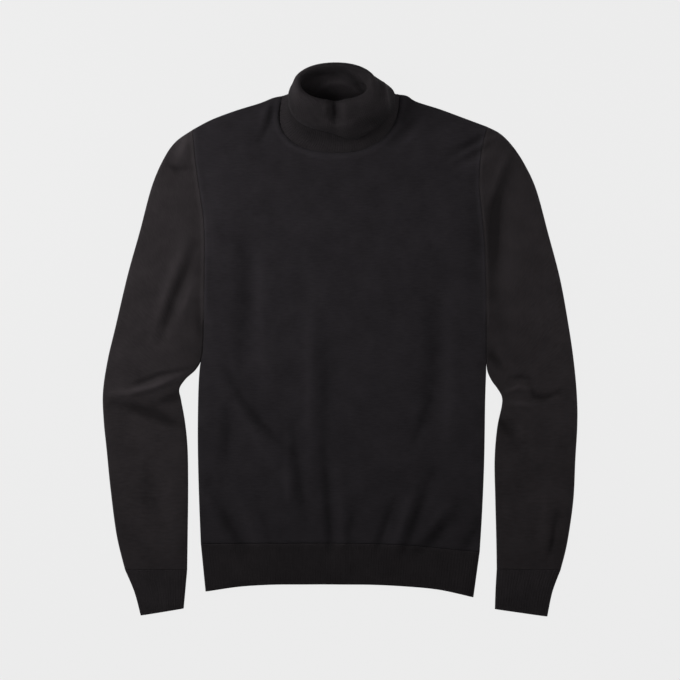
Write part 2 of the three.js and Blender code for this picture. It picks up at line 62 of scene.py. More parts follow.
# Seams: how far the neckline reaches in under the collar, and the hem seam's gap and lap
NECK_LAP = 0.6
SEAM_GAP = 0.3
SEAM_LAP = 0.4

# Ribbing: width and relief of a rib, points across one, and the collar's relaxed girth
RIB_PITCH = 3.6
RIB_RELIEF = 0.4
POINTS_PER_RIB = 6
COLLAR_GIRTH = 440.0
COLLAR_RIBS = round(COLLAR_GIRTH / RIB_PITCH)

# Steps in which curves are followed
CURVE_STEPS = 240
HEIGHT_STEPS = 4000
RING_STEPS = 720
SHOULDER_EDGE_STEPS = 12
OUTER_EDGE_STEPS = 80
INNER_EDGE_STEPS = 60
CUFF_EDGE_STEPS = 8
SIDE_STEPS = 40
HEM_EDGE_STEPS = 4
SEAM_STEPS = 24
NECK_SEAM_STRIDE = 8
TUBE_EDGE_STEPS = 120
TUBE_LENGTH_STEPS = 60

# Stands in for the square of a segment's length where both its ends are one point
LEAST_SQUARE = 1e-9

# Rows and columns of the meshes
BODY_ROWS = 140
SHOULDER_ROWS = 36
SHOULDER_COLUMNS = 34
NECK_COLUMNS = 44
SLEEVE_ROWS = 170
SLEEVE_OVER = 60
SLEEVE_UNDER = 20
BAND_UNDER = 40
COLLAR_ROWS = 58

# Ribbed bands: flat width and rows of the mesh along each
BANDS = {"hem_rib": (390, 24), "cuff_right": (71, 26), "cuff_left": (75, 26)}

# Body side and armhole of each side, from the hem seam up to the shoulder tip
RIGHT_SIDE = [
    (-194.6, -284.2), (-197.4, -210), (-198.8, -140), (-198.1, -77), (-196, -39),
    (-191.8, -14), (-190.4, 25), (-189.7, 70), (-189, 126), (-190.4, 168),
    (-196, 210), (-201.6, 250), (-205.8, 294),
]
LEFT_SIDE = [
    (195.3, -295.7), (198.8, -238), (201.6, -168), (203, -84), (204.4, -40),
    (204.8, -8), (204.4, 25), (204.2, 75), (202.6, 126), (199, 172),
    (194.6, 215), (197, 260), (205.8, 298),
]

# Shoulder seams, from the shoulder tip towards the neck
RIGHT_SHOULDER = [(-205.8, 294), (-179.2, 308), (-145.6, 320.6), (-112, 331), (-93, 338.5)]
LEFT_SHOULDER = [(205.8, 298), (173.6, 310), (140, 322.4), (107, 333), (94, 341)]

# Lines across the sleeves and cuffs: outer x, outer y, inner x, inner y
RIGHT_SLEEVE = [
    (-229.6, 277.2, -190.4, 11), (-246.4, 253.4, -190.8, -1.4), (-263.2, 214.2, -191.5, -14),
    (-280, 151.2, -194.2, -29), (-296.8, 91, -202, -42), (-313.6, 19.6, -216, -55),
    (-324.8, -28, -224.4, -68.6), (-331.4, -72.8, -222, -84), (-330.4, -112, -216.3, -116),
    (-326.2, -154, -212.8, -154), (-320.6, -210, -212.1, -210), (-312.2, -273, -212.8, -273),
    (-300.6, -321, -213.5, -321.3),
]
LEFT_SLEEVE = [
    (224, 288.4, 204.4, 10), (240.8, 271.6, 204.5, -5), (257.6, 246.4, 204.5, -20),
    (274.4, 210, 204.6, -33), (291.2, 148.4, 206.4, -45), (308, 84, 212, -57),
    (320.6, 14, 220, -68), (327.6, -36.4, 226, -79), (331.4, -81.2, 226, -92),
    (331.8, -119, 219.6, -123), (329, -168, 216, -168), (326.2, -224, 217, -224),
    (317.8, -282.8, 218.4, -280), (308.4, -321.3, 219, -320),
]

# The cuffs go on from the sleeves' last lines
RIGHT_CUFF = [(-287.5, -352, -216, -349), (-278.6, -385, -218.4, -375.2)]
LEFT_CUFF = [(297, -352, 217.4, -347.5), (289.8, -386.4, 216.4, -376)]

# Lines down from the armhole over which a sleeve loses the armhole's curve
ARMHOLE_FADE_ROWS = 6

# Hem rib, in even steps across the body: seam x, seam y, lower end x, lower end y
HEM = [
    (-194.6, -284.5, -188, -351.5), (-145.9, -284.3, -141, -344.6), (-97.1, -284, -94, -341.8),
    (-48.4, -284, -47, -341.5), (0.4, -284, -0.8, -341.5), (49.1, -284.8, 46.1, -341.9),
    (97.9, -287, 92.9, -344.4), (146.6, -291.5, 139.7, -349), (195.3, -296, 186.5, -359.6),
]

# Collar rings, from the neck seam up the stand, over the roll and down the turned flap
RING_COLUMNS = (
    "centre", "right_half", "left_half", "right_y", "left_y", "side_z",
    "front_y", "front_z", "back_y", "back_z", "roundness", "lean",
)
COLLAR = [
    (-2, 78.5, 85.5, 341, 343, 3.2, 261.5, 6.8, 322, 1.5, 2.3, 0.3),
    (-3, 67, 74, 343, 344, 15, 276.5, 16, 338, 12, 2.3, 0.2),
    (-4, 59.5, 63, 346, 346, 27, 291, 26, 347, 22, 2.25, 0.1),
    (-6, 54, 53, 349, 348, 37, 305, 34.5, 357, 31, 2.2, 0),
    (-8, 49, 46, 352, 350, 44, 316, 41, 368.5, 36, 2.1, 0),
    (-6.5, 50, 50, 356, 356, 56, 328, 48.5, 375.5, 54.5, 2, 0),
    (-7, 51.5, 51.5, 356.5, 356.5, 60, 330.5, 52, 379.6, 59, 2, 0),
    (-7, 53.5, 54, 355, 355, 58.5, 327.5, 54.2, 381.2, 56, 2.05, 0),
    (-3, 65, 61, 340, 337, 44, 306, 48, 378, 42, 2.3, 0),
    (-1, 69.5, 67, 337, 337, 36, 295, 43.5, 373, 29, 2.4, 0),
    (4, 75.5, 73, 336, 338, 23, 289, 30, 362, 18, 2.5, 0),
]

# Pushes of each ring: a dimple in front, a dip of the edge with a droop beside it, a slouch
# behind. Each has its place and half width across, and says whether it is in front.
PUSHES = {
    "dimple": (-5.5, 9.5, True), "dip": (20, 25, True), "droop": (44, 20, True), "slouch": (24, 20, False),
}
PUSH_COLUMNS = (
    "dimple_y", "dimple_z", "dip_y", "dip_z", "droop_y", "droop_z", "slouch_y", "slouch_z",
)
RING_PUSHES = [
    (0, 0, 0, 0, 0, 0, 0, 0),
    (0, 0, 0, 0, 0, 0, 0, 0),
    (0, 0, 0, 0, 0, 0, 0, 0),
    (-0.5, -0.5, 0, 0, 0, 0, 0, 0),
    (-1, -1.5, 0, 0, 0, 0, -7, 3),
    (-1.6, -3, 0, 0, 0, 0, 0, 0),
    (-1.2, -4, 0, 0, 0, 0, 0, 0),
    (0.5, -5, 0, 0, 0, 0, 0, 0),
    (2, -6.5, 0, 0, 2, -1, 0, 0),
    (1, -3, -2.5, 0, 5, -3.5, 0, 0),
    (0, -0.5, -11, -6, 0, 0, 0, 0),
]

# Folds of the upper layer: rise (troughs are negative), half width, and the points that each one
# runs through. Each fades out towards its ends.
# Their troughs also get painted shade and their ridges painted light, in the cloth's colour
FOLDS = [
    # Right sleeve: the shoulder tip, along the armhole, at the elbow and down the forearm
    (4.5, 9, (-212, 288), (-218, 272), (-224, 250)),
    (-3.6, 4.5, (-240, 244), (-226, 238), (-208, 242)),
    (-3.8, 6, (-202, 136), (-212, 104), (-232, 57), (-250, 0)),
    (2.8, 8, (-216, 136), (-236, 84), (-260, 14)),
    (2.4, 7, (-202, 84), (-214, 56), (-232, 14)),
    (-2.6, 6, (-196, 52), (-192, -10)),
    (-2.6, 3.5, (-300, -70), (-280, -60), (-252, -49), (-200, -38)),
    (4.2, 5.5, (-318, -76), (-292, -73), (-262, -66), (-222, -50)),
    (-4.6, 8, (-316, -88), (-286, -97), (-258, -106), (-232, -117), (-214, -124)),
    (-3.4, 7, (-258, -92), (-240, -85), (-222, -78), (-206, -73)),
    (1.4, 13, (-242, -132), (-236, -220), (-230, -310)),
    (-1.2, 9, (-262, -140), (-270, -240)),
    # Left sleeve: beside the armhole, under the arm, at the elbow and down the forearm
    (-4.6, 10, (244, 266), (228, 222), (217, 184), (215, 120), (214, 60)),
    (-1, 7, (216, 200), (216, 150), (216, 100)),
    (2.8, 6, (238, 268), (224, 238), (207, 190)),
    (1.6, 12, (240, 190), (236, 120), (242, 40)),
    (-1.4, 10, (216, 60), (222, 20), (236, -20)),
    (-4, 6.5, (206, -12), (214, -26), (228, -42)),
    (-2.8, 3.5, (238, -54), (252, -52), (270, -56)),
    (2.6, 4, (226, -76), (250, -66), (272, -70)),
    (-3.8, 4, (264, -62), (272, -80), (286, -82), (308, -72)),
    (2, 4, (238, -90), (256, -90), (274, -94)),
    (-3.8, 9, (212, -100), (226, -118), (246, -140)),
    (-3.2, 4, (303, -242), (297, -282), (286, -332)),
    (1.6, 8, (286, -200), (282, -300)),
    # Chest, beside the armholes
    (-3, 5, (152, 258), (184, 276), (210, 292)),
    (-2.6, 4, (162, 246), (192, 262), (214, 276)),
    (2.2, 4, (160, 254), (186, 268), (210, 282)),
    (2, 6, (168, 240), (196, 252), (216, 264)),
    (-1.8, 10, (184, 220), (190, 150), (188, 60)),
    (1.4, 9, (-176, 250), (-180, 180), (-178, 90)),
    # Beside the collar
    (-2.8, 5, (-88, 334), (-97, 308), (-112, 276)),
    (2, 5, (-98, 336), (-108, 308)),
    (-2.2, 5, (70, 276), (88, 290), (106, 310)),
    (1.8, 5, (80, 266), (100, 284), (116, 306)),
    # Body: soft vertical folds, and the ones that gather above the hem and fade out in it
    (-2.4, 13, (-138, 170), (-131, 80), (-138, -30)),
    (1.6, 11, (-108, 120), (-110, 20), (-104, -60)),
    (-3.4, 6, (-162, -38), (-138, -82), (-108, -121), (-68, -162)),
    (2, 8, (-146, -92), (-112, -146), (-84, -190)),
    (-3, 6, (-66, -118), (-60, -173), (-57, -205), (-48, -252)),
    (1.8, 6, (-76, -170), (-70, -230)),
    (-2.2, 8, (-156, -84), (-157, -130), (-160, -196)),
    (2, 9, (-39, 84), (-42, -40), (-42, -130), (-40, -210)),
    (-1.8, 9, (-20, 20), (-21, -80), (-20, -190)),
    (-3.2, 6, (-22, -150), (-18, -215), (-13, -290), (-10, -350)),
    (1.8, 7, (0, -190), (4, -290), (6, -330)),
    (-3, 7, (-184, -204), (-168, -236), (-138, -288), (-118, -326)),
    (1.6, 8, (-148, -210), (-126, -262), (-112, -300)),
    (-1.6, 6, (-116, -226), (-102, -262), (-94, -300)),
    (-2.2, 13, (128, 70), (131, -20), (122, -110)),
    (1.6, 11, (152, 60), (154, -90), (146, -180)),
    (-2, 6, (132, -62), (113, -120), (96, -160)),
    (-3.6, 7, (130, -186), (112, -232), (92, -292), (78, -330)),
    (2.2, 6, (106, -200), (90, -246), (74, -296)),
    (-2.8, 6, (76, -226), (62, -262), (48, -310)),
    (-3.6, 9, (168, -232), (140, -268), (112, -298), (90, -320)),
    (1.8, 6, (148, -232), (122, -268)),
    (-1.8, 7, (22, -226), (14, -266), (10, -310)),
    (-2.6, 8, (196, -256), (182, -280), (166, -310)),
]

# Shares of a fold's length beyond which it fades no further, and the power of its fade
FOLD_ENDS = (0.08, 0.92)
FOLD_FADE = 0.7

# Heights between which folds run out in the hem rib, and what is left of them below
CALM_FROM = -286.0
CALM_BELOW = -308.0
CALM_REST = 0.12

# Depth of a trough that is painted fully dark, and the limits of the painted shade and painted light from
# folds and seams
PAINTED_SHADE_DEPTH = 3.0
PAINTED_SHADE_LIMITS = (-1.6, 1.4)

# Soft waviness of the whole upper layer: rise, and waves per metre across and along
WAVES = [(0.5, 9.3, 3.1), (0.4, -6.1, 7.7), (0.28, 15.2, 5.4), (0.22, 4.2, -17.5)]

# Ridges beside the seams: seam, rise, distance from the seam and half width
SEAM_RIDGES = [("armhole", 0.8, 2.2, 2.4), ("neck", 1.5, 5, 2.8), ("hem", 0.4, 4, 2.6)]

# Painted shade at the seams, painted light where negative: seam, depth, distance from the seam and half
# width
SEAM_PAINTED_SHADES = [
    ("neck", 0.4, 0, 2), ("hem", 0.1, 0, 1.4), ("armhole", -0.8, 2, 2.4), ("neck", -0.9, 6, 2.6),
]

# Creases of the collar's flap: rise, half width, and the points each one runs through; their troughs also
# get painted shade and their ridges painted light
FLAP_CREASES = [
    (-1.2, 3, (-72, 344), (-69, 332), (-60, 308)),
    (-2.2, 3.5, (-7, 340), (-9, 322), (-7, 302)),
    (1.1, 4, (-20, 328), (-21, 312)),
    (1.4, 4.5, (7, 332), (8, 308)),
    (1.4, 3, (-40, 310), (-20, 302), (-2, 298), (16, 300), (32, 314)),
    (-1.5, 2.5, (-40, 312), (-28, 302), (-16, 298)),
    (2.4, 4, (-57, 368), (-59, 352), (-58, 336)),
    (3.4, 3.5, (60, 356), (62, 340), (66, 322)),
    (-2, 3, (52, 362), (54, 346), (54, 330)),
    (-2, 9, (12, 300), (38, 300), (58, 306), (74, 322), (80, 340)),
]

# Creases of the collar's inside, as far as they show in its opening; their troughs also get painted shade
# and their ridges painted light, at full strength
INSIDE_CREASES = [
    (1.5, 3, (-42, 341), (-30, 350), (-14, 357), (2, 358), (18, 354), (31, 342)),
    (-0.9, 3.5, (-50, 360), (-36, 369), (-12, 373), (4, 371)),
    (-1, 3, (-8, 379), (8, 371), (21, 361), (33, 347)),
    (-1, 4, (-50, 350), (-40, 338), (-22, 334)),
    (1.4, 9, (-10, 344), (14, 342), (34, 350)),
    (1.6, 7, (4, 382), (24, 375), (40, 360)),
]


# Curves in plan

def spline(points, shares):
    """A smooth curve through points, stepped evenly from one point to the next."""
    points = np.asarray(points, float)
    last = len(points) - 1
    place = np.clip(np.asarray(shares, float), 0, 1) * last
    index = np.minimum(place.astype(int), last - 1)
    weight = (place - index)[..., None]
    before = points[np.maximum(index - 1, 0)]
    start = points[index]
    end = points[index + 1]
    after = points[np.minimum(index + 2, last)]
    leave = (end - before) / 2
    arrive = (after - start) / 2
    cubic = (2 * start - 2 * end + leave + arrive) * weight**3
    square = (3 * end - 3 * start - 2 * leave - arrive) * weight**2
    return cubic + square + leave * weight + start


def lengths_along(points):
    """Length passed at each of a run of points."""
    return np.concatenate([[0], np.cumsum(np.linalg.norm(np.diff(points, axis=0), axis=1))])


def path_along(points):
    """A way along a run of points by length, from 0 at its start to 1 at its end."""
    points = np.asarray(points, float)
    lengths = lengths_along(points)

    def place(shares):
        wanted = np.clip(np.asarray(shares, float), 0, 1) * lengths[-1]
        return np.stack([np.interp(wanted, lengths, column) for column in points.T], -1)

    return place


def smooth_path(points):
    return path_along(spline(points, np.linspace(0, 1, CURVE_STEPS + 1)))


def share_at_height(path, height):
    """Share of a rising path at which it reaches a height."""
    shares = np.linspace(0, 1, HEIGHT_STEPS + 1)
    return float(np.interp(height, path(shares)[:, 1], shares))


def straight(start, end):
    return lambda share: start + (end - start) * np.asarray(share)[..., None]


def part_of(path, start, end):
    return lambda share: path(start + (end - start) * np.asarray(share))


def ring_points(ring, angles):
    """Points of a collar ring: angle 0 at the centre front, a quarter turn at the wearer's left."""
    power = 2 / ring["roundness"]
    across = np.sign(np.sin(angles)) * np.abs(np.sin(angles)) ** power
    along = np.abs(np.cos(angles)) ** power
    is_front = np.cos(angles) > 0
    is_left = np.sin(angles) > 0
    half = np.where(is_left, ring["left_half"], ring["right_half"])
    side_y = np.where(is_left, ring["left_y"], ring["right_y"])
    end_y = np.where(is_front, ring["front_y"], ring["back_y"])
    end_z = np.where(is_front, ring["front_z"], ring["back_z"])
    y = side_y + (end_y - side_y) * along
    lean = np.where(is_front & ~is_left, ring["lean"] * (y - side_y) * np.abs(across), 0)
    z = ring["side_z"] + (end_z - ring["side_z"]) * along
    return np.stack([ring["centre"] + half * across + lean, y, z], -1)


def panel_neck():
    """The collar's lowest ring, drawn in by the lap of the neck seam."""
    ring = dict(zip(RING_COLUMNS, COLLAR[0]))
    ring["right_half"] -= NECK_LAP
    ring["left_half"] -= NECK_LAP
    ring["front_y"] += NECK_LAP
    ring["back_y"] += NECK_LAP
    return ring


def neck_points(start, end):
    return ring_points(panel_neck(), np.linspace(start, end, CURVE_STEPS + 1))[:, :2]


front_neck_points = neck_points(-math.pi / 2, math.pi / 2)
back_neck_points = neck_points(-math.pi / 2, -1.5 * math.pi)
right_side = smooth_path(RIGHT_SIDE)
left_side = smooth_path(LEFT_SIDE)
right_shoulder = smooth_path([*RIGHT_SHOULDER, front_neck_points[0]])
left_shoulder = smooth_path([*LEFT_SHOULDER, front_neck_points[-1]])


# Plans of the flattened tubes, across from edge to edge and along from seam to end

def between_edges(edges, across):
    share = np.asarray(across, float)[..., None]
    return edges[..., :2] * (1 - share) + edges[..., 2:] * share


def tube_plan(rows):
    """Plan of a tube from lines across it, each from its outer to its inner edge."""
    return lambda across, along: between_edges(spline(rows, along), across)


def hem_plan(across, along):
    """Plan of the hem rib, whose lines run from the seam to the lower end."""
    return between_edges(spline(HEM, across), along)


def sleeve_plan(rows, side):
    """Plan of a sleeve, which starts on the armhole's curve and loses it on the way down."""
    underarm = share_at_height(side, UNDERARM_Y)

    def armhole(across):
        return side(1 + (underarm - 1) * across)

    tip, pit = armhole(np.array(0.0)), armhole(np.array(1.0))
    ruled = tube_plan([(*tip, *pit), *rows])
    fade_length = ARMHOLE_FADE_ROWS / len(rows)

    def place(across, along):
        share = np.asarray(across, float)
        bow = armhole(share) - tip - (pit - tip) * share[..., None]
        fade = np.clip(1 - np.asarray(along, float) / fade_length, 0, 1) ** 2
        return ruled(across, along) + bow * fade[..., None]

    return place


PLANS = {
    "sleeve_right": sleeve_plan(RIGHT_SLEEVE, right_side),
    "sleeve_left": sleeve_plan(LEFT_SLEEVE, left_side),
    "cuff_right": tube_plan([RIGHT_SLEEVE[-1], *RIGHT_CUFF]),
    "cuff_left": tube_plan([LEFT_SLEEVE[-1], *LEFT_CUFF]),
    "hem_rib": hem_plan,
}


# Distances from edges and seams

def steps_along(plan, across, count):
    return plan(np.full(count + 1, float(across)), np.linspace(0, 1, count + 1))


def from_underarm(side, end, steps):
    """Points of a side from the underarm down to the hem, at 0, or up to the shoulder tip, at 1."""
    return side(np.linspace(share_at_height(side, UNDERARM_Y), end, steps + 1))


def arm_edges(shoulder, sleeve, cuff):
    """Outer edge of a shoulder, sleeve and cuff, and the inner edge of the sleeve and cuff."""
    outer = np.concatenate([
        shoulder(np.linspace(1, 0, SHOULDER_EDGE_STEPS + 1)),
        steps_along(PLANS[sleeve], 0, OUTER_EDGE_STEPS),
        steps_along(PLANS[cuff], 0, CUFF_EDGE_STEPS),
    ])
    inner = np.concatenate([
        steps_along(PLANS[sleeve], 1, INNER_EDGE_STEPS),
        steps_along(PLANS[cuff], 1, CUFF_EDGE_STEPS),
    ])
    return [outer, inner]


def body_edge(side, hem_end):
    """A side of the body below the underarm, and the hem rib's edge below it."""
    rib_edge = steps_along(hem_plan, hem_end, HEM_EDGE_STEPS)
    return np.concatenate([from_underarm(side, 0, SIDE_STEPS), rib_edge])


# Folded edges of the whole garment, where the upper layer comes down to the lower one
EDGES = [
    *arm_edges(right_shoulder, "sleeve_right", "cuff_right"),
    *arm_edges(left_shoulder, "sleeve_left", "cuff_left"),
    body_edge(right_side, 0),
    body_edge(left_side, 1),
]

SEAMS = {
    "armhole": [from_underarm(side, 1, SEAM_STEPS) for side in (right_side, left_side)],
    "neck": [front_neck_points[::NECK_SEAM_STRIDE]],
    "hem": [spline(HEM, np.linspace(0, 1, SEAM_STEPS + 1))[:, :2]],
}


def share_of_segment(places, start, end):
    """How far along a segment each place lies, held between 0 and 1. A segment may be a point."""
    run = np.asarray(end, float) - start
    return np.clip((places - start) @ run / max(float(run @ run), LEAST_SQUARE), 0, 1)


def distance_to_segment(places, start, end):
    share = share_of_segment(places, start, end)[..., None]
    return np.linalg.norm(places - start - share * (np.asarray(end, float) - start), axis=-1)


def distance_to_lines(places, lines):
    nearest = np.full(places.shape[:-1], np.inf)
    for line in lines:
        for start, end in zip(line[:-1], line[1:]):
            nearest = np.minimum(nearest, distance_to_segment(places, start, end))
    return nearest


def distance_and_share(places, points):
    """Distance of each place from a run of points, and the share of its length passed there."""
    lengths = lengths_along(points)
    nearest = np.full(places.shape[:-1], np.inf)
    share = np.zeros(places.shape[:-1])
    for index, (start, end) in enumerate(zip(points[:-1], points[1:])):
        distance = distance_to_segment(places, start, end)
        passed = lengths[index] + share_of_segment(places, start, end) * np.diff(lengths)[index]
        closer = distance < nearest
        nearest = np.where(closer, distance, nearest)
        share = np.where(closer, passed / lengths[-1], share)
    return nearest, share


# Height of the upper layer, and the painted shade of its folds and seams

def bump_at(distance, width):
    return np.exp(-((distance / width) ** 2))


def quarter_round(distance, reach):
    """Rises from 0 at an edge to 1 at its reach, as a quarter of a circle does."""
    inward = np.clip(distance / reach, 0, 1)
    return np.sqrt(1 - (1 - inward) ** 2)


def crease_relief(places, creases):
    """Sum of soft folds at each place, each fading out along its run."""
    relief = np.zeros(places.shape[:-1])
    for rise, width, *points in creases:
        nearest, share = distance_and_share(places, np.asarray(points, float))
        fade = np.sin(math.pi * np.clip(share, *FOLD_ENDS)) ** FOLD_FADE
        relief += rise * fade * bump_at(nearest, width)
    return relief


def fold_relief(places):
    """Relief of the folds, which run out in the ribbed hem."""
    calm = np.clip((places[..., 1] - CALM_BELOW) / (CALM_FROM - CALM_BELOW), CALM_REST, 1)
    return crease_relief(places, FOLDS) * calm


def wave_relief(places):
    return sum(
        rise * np.sin(2 * math.pi * MM * (across * places[..., 0] + along * places[..., 1]))
        for rise, across, along in WAVES
    )


def beside_seams(places, rows):
    """Sum of soft bumps beside the seams, from rows of seam, rise, distance and half width."""
    distances = {seam: distance_to_lines(places, lines) for seam, lines in SEAMS.items()}
    return sum(rise * bump_at(distances[seam] - offset, width) for seam, rise, offset, width in rows)


def painted_shade_of(places):
    """Painted shade at each place from its folds and seams: 1, darkest, in a deep trough, and below 0,
    painted light, on a ridge.
    """
    painted_shade = beside_seams(places, SEAM_PAINTED_SHADES) - fold_relief(places) / PAINTED_SHADE_DEPTH
    return np.clip(painted_shade, *PAINTED_SHADE_LIMITS)


def top_height(places):
    climb = quarter_round(distance_to_lines(places, EDGES), EDGE_REACH)
    relief = fold_relief(places) + wave_relief(places) + beside_seams(places, SEAM_RIDGES)
    return EDGE_TOP + climb * np.maximum(FULL_TOP - EDGE_TOP + relief, 0)


# Meshes

SHIFT = np.array(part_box("back_panel")[0]) / MM - (RIGHT_SHOULDER[0][0], LEFT_SIDE[0][1], 0)


def add_object(name, data):
    """A new object in the scene, with the data that it shows."""
    piece = bpy.data.objects.new(name, data)
    bpy.context.scene.collection.objects.link(piece)
    return piece


def outward(points, quads):
    """The same faces, turned so that the closed surface faces out."""
    a, b, c, d = (points[quads[:, corner]] for corner in range(4))
    volumes = np.einsum("ij,ij->i", a, np.cross(b, c)) + np.einsum("ij,ij->i", a, np.cross(c, d))
    return quads[:, ::-1] if volumes.sum() < 0 else quads


def mesh_object(name, points, quads, knit_places, painted_shades):
    """A smooth closed mesh, with the knit's own coordinates and the painted shade at each point."""
    mesh = bpy.data.meshes.new(name)
    mesh.from_pydata(((points + SHIFT) * MM).tolist(), [], outward(points, quads).tolist())
    layer = mesh.uv_layers.new(name="knit")
    corners = np.empty(len(mesh.loops), dtype=np.int32)
    mesh.loops.foreach_get("vertex_index", corners)
    layer.data.foreach_set("uv", (knit_places[corners] * MM).astype(np.float32).ravel())
    # The point attribute holds painted shade: darker in troughs and at seams, lighter on ridges
    painted_shade = mesh.attributes.new("painted_crease_shade", "FLOAT", "POINT")
    painted_shade.data.foreach_set("value", np.ascontiguousarray(painted_shades, dtype=np.float32))
    mesh.polygons.foreach_set("use_smooth", np.ones(len(mesh.polygons), dtype=bool))
    mesh.update()
    return add_object(name, mesh)


def grid_quads(rows, columns, closed=False):
    """Quads of a numbered grid, which in a closed one also join its last and first rows and columns."""
    row = np.arange(rows if closed else rows - 1)[:, None]
    column = np.arange(columns if closed else columns - 1)[None, :]
    next_row = (row + 1) % rows
    next_column = (column + 1) % columns
    corners = np.broadcast_arrays(
        row * columns + column, row * columns + next_column,
        next_row * columns + next_column, next_row * columns + column,
    )
    return np.stack(corners, -1).reshape(-1, 4)


def torus_object(name, skin_out, skin_in, knit_places, painted_shade_out, painted_shade_in):
    """A tube's wall from two grids of the same size, rows along it and columns round it."""
    rings = np.concatenate([skin_out, skin_in[::-1]])
    knit = np.concatenate([knit_places, knit_places[::-1]]).reshape(-1, 2)
    # Painted shade of the outer and inner skins
    painted_shade = np.concatenate([painted_shade_out, painted_shade_in[::-1]]).ravel()
    quads = grid_quads(rings.shape[0], rings.shape[1], closed=True)
    return mesh_object(name, rings.reshape(-1, 3), quads, knit, painted_shade)


# Distances from a rim at which it has rows of its own, and the reach of its rounding
RIM_STEPS = (0.4, 1.1, 2.0)
RIM_ROUND = 1.5


def rimmed_steps(count, length):
    """Even steps from 0 to 1, with a few close ones at each end for the rounded rim."""
    close = np.array(RIM_STEPS) / length
    even = np.linspace(0, 1, count + 1)
    return np.sort(np.concatenate([even, close, 1 - close]))


# Panels

# Shares of the neckline and of a panel's columns on each side of the neckline's lowest part
NECK_SPLIT = 0.24
COLUMN_SPLIT = 10 / 32

# Rough lengths of the patches, by which the rows at their rims are spaced
BODY_LENGTH = 520
YOKE_WIDTH = 135
YOKE_LENGTH = 60


def patch_grid(bottom, top, left, right, u, v):
    """A grid over a four-sided patch; left and right run upwards, bottom and top to the right."""
    across, up = u[None, :, None], v[:, None, None]
    low, high = bottom(u)[None], top(u)[None]
    near, far = left(v)[:, None], right(v)[:, None]
    corners = (
        (1 - across) * (1 - up) * low[:, :1] + across * (1 - up) * low[:, -1:]
        + (1 - across) * up * high[:, :1] + across * up * high[:, -1:]
    )
    return (1 - up) * low + up * high + (1 - across) * near + across * far - corners


def body_grid(neck, right_yoke, left_yoke, shoulder_steps):
    """The body up to the shoulder patches and the neckline's lowest part."""
    neck_steps = np.linspace(0, 1, NECK_COLUMNS + 1)
    columns = np.concatenate([
        shoulder_steps[:-1] * COLUMN_SPLIT,
        COLUMN_SPLIT + neck_steps[:-1] * (1 - 2 * COLUMN_SPLIT),
        1 - COLUMN_SPLIT + shoulder_steps * COLUMN_SPLIT,
    ])
    top = np.concatenate([
        right_yoke(shoulder_steps)[:-1],
        part_of(neck, NECK_SPLIT, 1 - NECK_SPLIT)(neck_steps)[:-1],
        left_yoke(shoulder_steps),
    ])

    def hem_line(share):
        return spline(HEM, share)[:, :2] + (0, SEAM_GAP)

    grid = patch_grid(
        hem_line, lambda _: top, part_of(right_side, 0, YOKE_SHARE), part_of(left_side, 0, YOKE_SHARE),
        columns, rimmed_steps(BODY_ROWS, BODY_LENGTH),
    )
    grid[0, :, 1] -= SEAM_GAP + SEAM_LAP
    return grid


def panel_grids(neck):
    """Three patches of a panel: the body, and each shoulder beside the neck."""
    right_yoke = straight(right_side(YOKE_SHARE), neck(NECK_SPLIT))
    left_yoke = straight(neck(1 - NECK_SPLIT), left_side(YOKE_SHARE))
    columns = rimmed_steps(SHOULDER_COLUMNS, YOKE_WIDTH)
    rows = rimmed_steps(SHOULDER_ROWS, YOKE_LENGTH)
    right_part = patch_grid(
        right_yoke, right_shoulder,
        part_of(right_side, YOKE_SHARE, 1), part_of(neck, NECK_SPLIT, 0), columns, rows,
    )
    left_part = patch_grid(
        left_yoke, part_of(left_shoulder, 1, 0),
        part_of(neck, 1 - NECK_SPLIT, 1), part_of(left_side, YOKE_SHARE, 1), columns, rows,
    )
    return [body_grid(neck, right_yoke, left_yoke, columns), right_part, left_part]


def merge_grids(grids):
    """One numbered set of plan points and quads from grids that share edges."""
    places = np.concatenate([grid.reshape(-1, 2) for grid in grids])
    quads = []
    start = 0
    for grid in grids:
        quads.append(grid_quads(grid.shape[0], grid.shape[1]) + start)
        start += grid.shape[0] * grid.shape[1]
    _, first, number = np.unique(np.round(places, 3), axis=0, return_index=True, return_inverse=True)
    return places[first], number.reshape(-1)[np.concatenate(quads)]


def rim_edges(quads):
    """Edges that only one quad has, in its direction."""
    pairs = np.concatenate([quads[:, [corner, (corner + 1) % 4]] for corner in range(4)])
    known = set(map(tuple, pairs.tolist()))
    return np.array([pair for pair in known if (pair[1], pair[0]) not in known])


def panel_object(name, neck, middle_height):
    """A panel's wall: an upper and a lower skin that meet in a rounded rim."""
    places, quads = merge_grids(panel_grids(neck))
    rim = rim_edges(quads)
    rim_numbers = np.unique(rim)
    half = WALL / 2 * quarter_round(distance_to_lines(places, places[rim]), RIM_ROUND)
    half[rim_numbers] = 0
    middle = middle_height(places)
    upper = np.column_stack([places, middle + half])
    lower = np.column_stack([places, middle - half])
    lower_numbers = np.arange(len(places)) + len(places)
    lower_numbers[rim_numbers] = rim_numbers
    faces = np.concatenate([quads, lower_numbers[quads][:, ::-1]])
    used, faces = np.unique(faces, return_inverse=True)
    points = np.concatenate([upper, lower])[used]
    plan = points[:, :2]
    return mesh_object(name, points, faces.reshape(-1, 4), plan, painted_shade_of(plan))


def front_middle(places):
    return top_height(places) - WALL / 2


def back_middle(places):
    return np.full(len(places), WALL / 2)


# Flattened tubes

# Inset of a tube's inner skin at its folded edges, and the share of it that its rounding keeps
INNER_INSET = 1.1 * WALL
INSET_KEPT = 0.9


def round_steps(count):
    """Steps from 0 to 1 that come closer towards both ends."""
    return (1 - np.cos(np.linspace(0, math.pi, count + 1))) / 2


